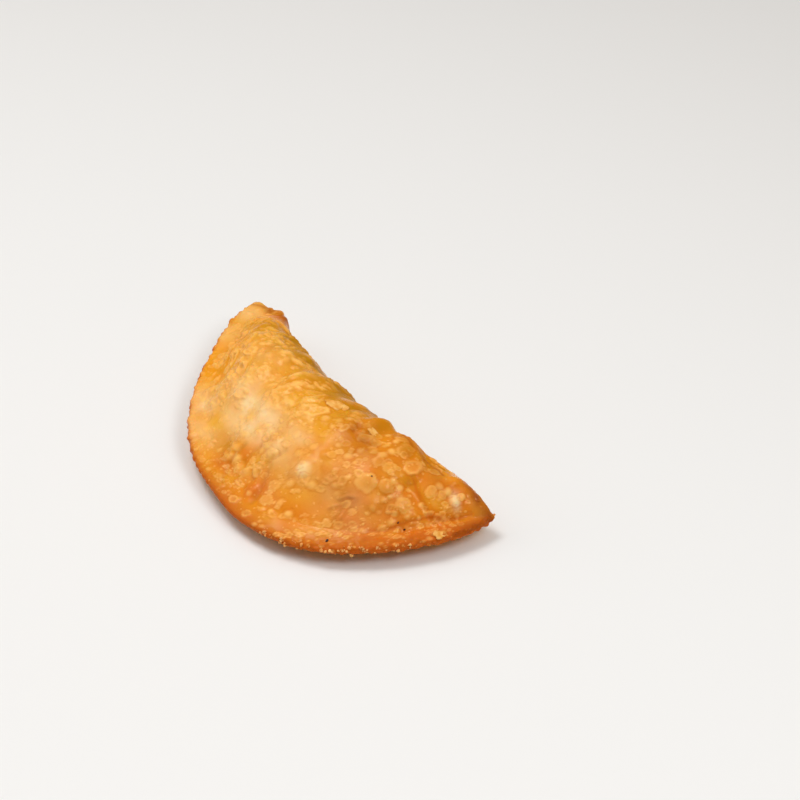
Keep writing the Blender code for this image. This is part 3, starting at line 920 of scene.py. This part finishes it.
# Settings named like a socket set its value, and the others are the node's own options
def addNode(tree, kind, **settings):
    node = tree.nodes.new(kind)
    for name, value in settings.items():
        if name in node.inputs:
            node.inputs[name].default_value = value
        else:
            setattr(node, name, value)
    return node


def mask(tree, name):
    return addNode(tree, "ShaderNodeAttribute", attribute_name=name).outputs["Fac"]


def noise(tree, scale, detail=3.0):
    where = addNode(tree, "ShaderNodeTexCoord").outputs["Object"]
    node = addNode(tree, "ShaderNodeTexNoise", Scale=scale, Detail=detail)
    tree.links.new(where, node.inputs["Vector"])
    return node.outputs["Fac"]


def plug(tree, value, socket):
    if isinstance(value, bpy.types.NodeSocket):
        tree.links.new(value, socket)
    else:
        socket.default_value = value


def maths(tree, operation, first, second):
    node = addNode(tree, "ShaderNodeMath", operation=operation)
    for value, socket in zip((first, second), node.inputs):
        plug(tree, value, socket)
    return node.outputs["Value"]


def remap(tree, value, low, high, toLow=0.0, toHigh=1.0):
    node = addNode(tree, "ShaderNodeMapRange", interpolation_type="SMOOTHSTEP")
    for name, entry in (("Value", value), ("From Min", low), ("From Max", high),
                        ("To Min", toLow), ("To Max", toHigh)):
        plug(tree, entry, node.inputs[name])
    return node.outputs["Result"]


def blendColour(tree, share, first, second):
    node = addNode(tree, "ShaderNodeMix", data_type="RGBA")
    plug(tree, share, node.inputs["Factor"])
    plug(tree, first, node.inputs[6])     # 6, 7 and output 2 are the colour ones
    plug(tree, second, node.inputs[7])
    return node.outputs[2]


crustFinish = {
    "golden": (0.80, 0.30, 0.010, 1.0),
    "straw": (0.86, 0.39, 0.020, 1.0),
    "toast": (0.76, 0.195, 0.010, 1.0),
    # colour of the painted shade round the blisters' feet
    "creviceShade": (0.64, 0.16, 0.004, 1.0),
    "pale": (1.0, 0.53, 0.13, 1.0),
    # colour of the painted highlight
    "paintedHighlight": (1.0, 0.74, 0.40, 1.0),
    "olive": (0.45, 0.185, 0.002, 1.0),
    # colour of the fry browning and of the painted shade
    "brownAndShade": (0.36, 0.075, 0.006, 1.0),
    "rim": (0.54, 0.115, 0.010, 1.0),
    "mottleScale": 90.0,
    "mottleEdge": (0.32, 0.68),
    "creviceShadeStrength": 0.55,
    "paleStrength": 0.88,
    "paleOnRidge": (0.1, 0.9, 1.0, 0.25),  # olive from, to, and how much paleness is left there
    "paleInPaintedHighlight": (0.0, 1.0, 1.0, 0.3),   # the same for the painted highlight
    "beadScale": 620.0,
    "beadStrength": 0.40,
    "beadSizes": (0.35, 1.0, 0.02, 0.42),  # chance from, to, and the beads' reach there
    "beadEdge": (1.0, 0.5),
    "grainScale": 900.0,
    "grainBump": 0.25,
    "grainDepth": 0.0002,
    "oilScale": 260.0,
    "oilEdge": (0.3, 0.7),
    "roughness": (0.20, 0.40),
    "specular": (0.34, 0.02),             # oily, dry
    "specularTint": (1.0, 0.78, 0.45, 1.0),
    "rimDryness": 0.8,
    "fullDryness": 0.8,
    "oilFilm": 0.06,
    "oilFilmRoughness": 0.15,
    "scatter": 0.25,
    "scatterRadius": (1.0, 0.35, 0.1),
    "scatterDepth": 0.0009,
}

bitFinishes = {
    # light colour, dark colour, scale of the patches
    "crumbFinish": ((0.92, 0.50, 0.16, 1.0), (0.75, 0.28, 0.05, 1.0), 700.0),
    "flakeFinish": ((0.92, 0.52, 0.14, 1.0), (0.80, 0.33, 0.04, 1.0), 500.0),
    "speckFinish": ((0.05, 0.015, 0.008, 1.0), (0.12, 0.03, 0.01, 1.0), 900.0),
    "patchEdge": (0.35, 0.65),
    "grainScale": 2500.0,
    "grainBump": 0.3,
    "grainDepth": 0.0001,
    "roughness": 0.5,
    "specular": 0.3,
}


# Loose bits share one dry finish: a light and a dark colour, mixed by noise
def bitFinish(name):
    b = bitFinishes
    light, dark, scale = b[name]
    material = bpy.data.materials.new(name)
    material.use_nodes = True
    tree = material.node_tree
    shader = tree.nodes["Principled BSDF"]
    patches = remap(tree, noise(tree, scale, detail=4.0), *b["patchEdge"])
    tree.links.new(blendColour(tree, patches, light, dark), shader.inputs["Base Color"])
    grain = addNode(tree, "ShaderNodeBump", Strength=b["grainBump"], Distance=b["grainDepth"])
    tree.links.new(noise(tree, b["grainScale"]), grain.inputs["Height"])
    tree.links.new(grain.outputs["Normal"], shader.inputs["Normal"])
    shader.inputs["Roughness"].default_value = b["roughness"]
    shader.inputs["Specular IOR Level"].default_value = b["specular"]
    return material


# Beads of tiny blisters, one in most cells of a cell pattern, each of its own size
def beads(tree):
    f = crustFinish
    where = addNode(tree, "ShaderNodeTexCoord").outputs["Object"]
    cells = addNode(tree, "ShaderNodeTexVoronoi", Scale=f["beadScale"])
    tree.links.new(where, cells.inputs["Vector"])
    chance = addNode(tree, "ShaderNodeSeparateColor")
    tree.links.new(cells.outputs["Color"], chance.inputs["Color"])
    reach = remap(tree, chance.outputs[0], *f["beadSizes"])
    return remap(tree, maths(tree, "DIVIDE", cells.outputs["Distance"], reach), *f["beadEdge"])


def fryFinish():
    f = crustFinish
    material = bpy.data.materials.new("friedCrust")
    material.use_nodes = True
    tree = material.node_tree
    shader = tree.nodes["Principled BSDF"]

    def times(first, second):
        return maths(tree, "MULTIPLY", first, second)

    mottle = remap(tree, noise(tree, f["mottleScale"], detail=5.0), *f["mottleEdge"])
    colour = blendColour(tree, mottle, f["golden"], f["straw"])
    # the painted highlight is blended into the base colour here
    for tone in ("olive", "toast", "paintedHighlight", "rim"):
        colour = blendColour(tree, mask(tree, tone), colour, f[tone])
    # painted shade round the blisters' feet
    creviceShades = times(mask(tree, "creviceShade"), f["creviceShadeStrength"])
    colour = blendColour(tree, creviceShades, colour, f["creviceShade"])
    offRidge = remap(tree, mask(tree, "olive"), *f["paleOnRidge"])
    offPaintedHighlight = remap(tree, mask(tree, "paintedHighlight"), *f["paleInPaintedHighlight"])
    paleness = times(times(mask(tree, "pale"), offRidge), offPaintedHighlight)
    colour = blendColour(tree, times(paleness, f["paleStrength"]), colour, f["pale"])
    tinyBlisters = beads(tree)
    beadPaleness = times(times(tinyBlisters, offRidge), f["beadStrength"])
    colour = blendColour(tree, beadPaleness, colour, f["pale"])
    colour = blendColour(tree, mask(tree, "brownAndShade"), colour, f["brownAndShade"])
    tree.links.new(colour, shader.inputs["Base Color"])

    grain = addNode(tree, "ShaderNodeBump", Strength=f["grainBump"], Distance=f["grainDepth"])
    grainHeight = maths(tree, "ADD", noise(tree, f["grainScale"], detail=2.0), tinyBlisters)
    tree.links.new(grainHeight, grain.inputs["Height"])
    tree.links.new(grain.outputs["Normal"], shader.inputs["Normal"])
    oil = remap(tree, noise(tree, f["oilScale"], detail=4.0), *f["oilEdge"], *f["roughness"])
    tree.links.new(oil, shader.inputs["Roughness"])
    matte = maths(tree, "MAXIMUM", mask(tree, "olive"), times(mask(tree, "rim"), f["rimDryness"]))
    matte = maths(tree, "MAXIMUM", matte, mask(tree, "dry"))
    gloss = remap(tree, matte, 0.0, f["fullDryness"], *f["specular"])
    tree.links.new(gloss, shader.inputs["Specular IOR Level"])
    shader.inputs["Specular Tint"].default_value = f["specularTint"]
    tree.links.new(times(offRidge, f["oilFilm"]), shader.inputs["Coat Weight"])
    shader.inputs["Coat Roughness"].default_value = f["oilFilmRoughness"]
    shader.inputs["Subsurface Weight"].default_value = f["scatter"]
    shader.inputs["Subsurface Radius"].default_value = f["scatterRadius"]
    shader.inputs["Subsurface Scale"].default_value = f["scatterDepth"]
    return material


# Here lengths are in metres, power in watts, angles in degrees, lens and sensor in millimetres
studio = {
    "floorSize": 6.0,
    "floorDrop": 0.0001,
    "floorColour": (0.86, 0.865, 0.87, 1.0),
    "floorRoughness": 0.45,
    "worldStrength": 0.60,
    # name, size, power, place
    "lights": (
        ("softBox", 0.45, 4.8, (-0.33, -0.14, 1.0)),
        ("sideBox", 0.7, 2.0, (-0.75, -0.70, 0.62)),
        ("highBox", 0.35, 2.5, (0.60, 0.12, 0.70)),
    ),
    "horizonColour": (0.40, 0.33, 0.25, 1.0),
    "ceilingColour": (1.0, 0.98, 0.94, 1.0),
    "ceilingReach": (0.40, 0.95),
    "aim": (0.0001, 0.0471, 0.0075),
    "azimuth": 56.63,
    "elevation": 33.06,
    "distance": 0.8052,
    "lens": 100.0,
    "sensorWidth": 36.0,
}


def makeFloor():
    bpy.ops.mesh.primitive_plane_add(size=studio["floorSize"])
    floor = bpy.context.object
    floor.name = "paleFloor"
    floor.location.z = -studio["floorDrop"]
    material = bpy.data.materials.new("paleFloorFinish")
    material.use_nodes = True
    shader = material.node_tree.nodes["Principled BSDF"]
    shader.inputs["Base Color"].default_value = studio["floorColour"]
    shader.inputs["Roughness"].default_value = studio["floorRoughness"]
    floor.data.materials.append(material)


def lookAt(thing, target):
    thing.rotation_euler = (Vector(target) - thing.location).to_track_quat("-Z", "Y").to_euler()


def makeLight():
    world = bpy.data.worlds.new("studioAir")
    world.use_nodes = True
    tree = world.node_tree
    direction = addNode(tree, "ShaderNodeSeparateXYZ")
    where = addNode(tree, "ShaderNodeTexCoord").outputs["Generated"]
    tree.links.new(where, direction.inputs["Vector"])
    height = remap(tree, direction.outputs["Z"], *studio["ceilingReach"])
    air = blendColour(tree, height, studio["horizonColour"], studio["ceilingColour"])
    tree.links.new(air, tree.nodes["Background"].inputs["Color"])
    tree.nodes["Background"].inputs["Strength"].default_value = studio["worldStrength"]
    bpy.context.scene.world = world
    for name, size, power, place in studio["lights"]:
        light = bpy.data.lights.new(name, "AREA")
        light.size = size
        light.energy = power
        softBox = bpy.data.objects.new(name, light)
        softBox.location = place
        bpy.context.scene.collection.objects.link(softBox)
        lookAt(softBox, (0.0, 0.0, 0.0))


def makeCamera():
    azimuth = math.radians(studio["azimuth"])
    elevation = math.radians(studio["elevation"])
    level = math.cos(elevation)
    back = Vector((math.sin(azimuth) * level, -math.cos(azimuth) * level, math.sin(elevation)))
    lens = bpy.data.cameras.new("camera")
    lens.lens = studio["lens"]
    lens.sensor_width = studio["sensorWidth"]
    camera = bpy.data.objects.new("camera", lens)
    camera.location = Vector(studio["aim"]) + back * studio["distance"]
    bpy.context.scene.collection.objects.link(camera)
    lookAt(camera, studio["aim"])
    bpy.context.scene.camera = camera


makeFloor()
makeLight()
makeCamera()
bpy.context.scene.view_settings.view_transform = "Standard"
print("stage ready")

skin, ground = makeCrust()
skin.data.materials.append(fryFinish())
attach(skin, "root")
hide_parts("cheburek")
print("crust ready,", len(skin.data.polygons), "faces")

makeRimCrumbs(ground, bitFinish("crumbFinish"))
makeFlakes(ground, bitFinish("flakeFinish"))
makeSpecks(ground, bitFinish("speckFinish"))
print("crumbs, flakes and specks ready")
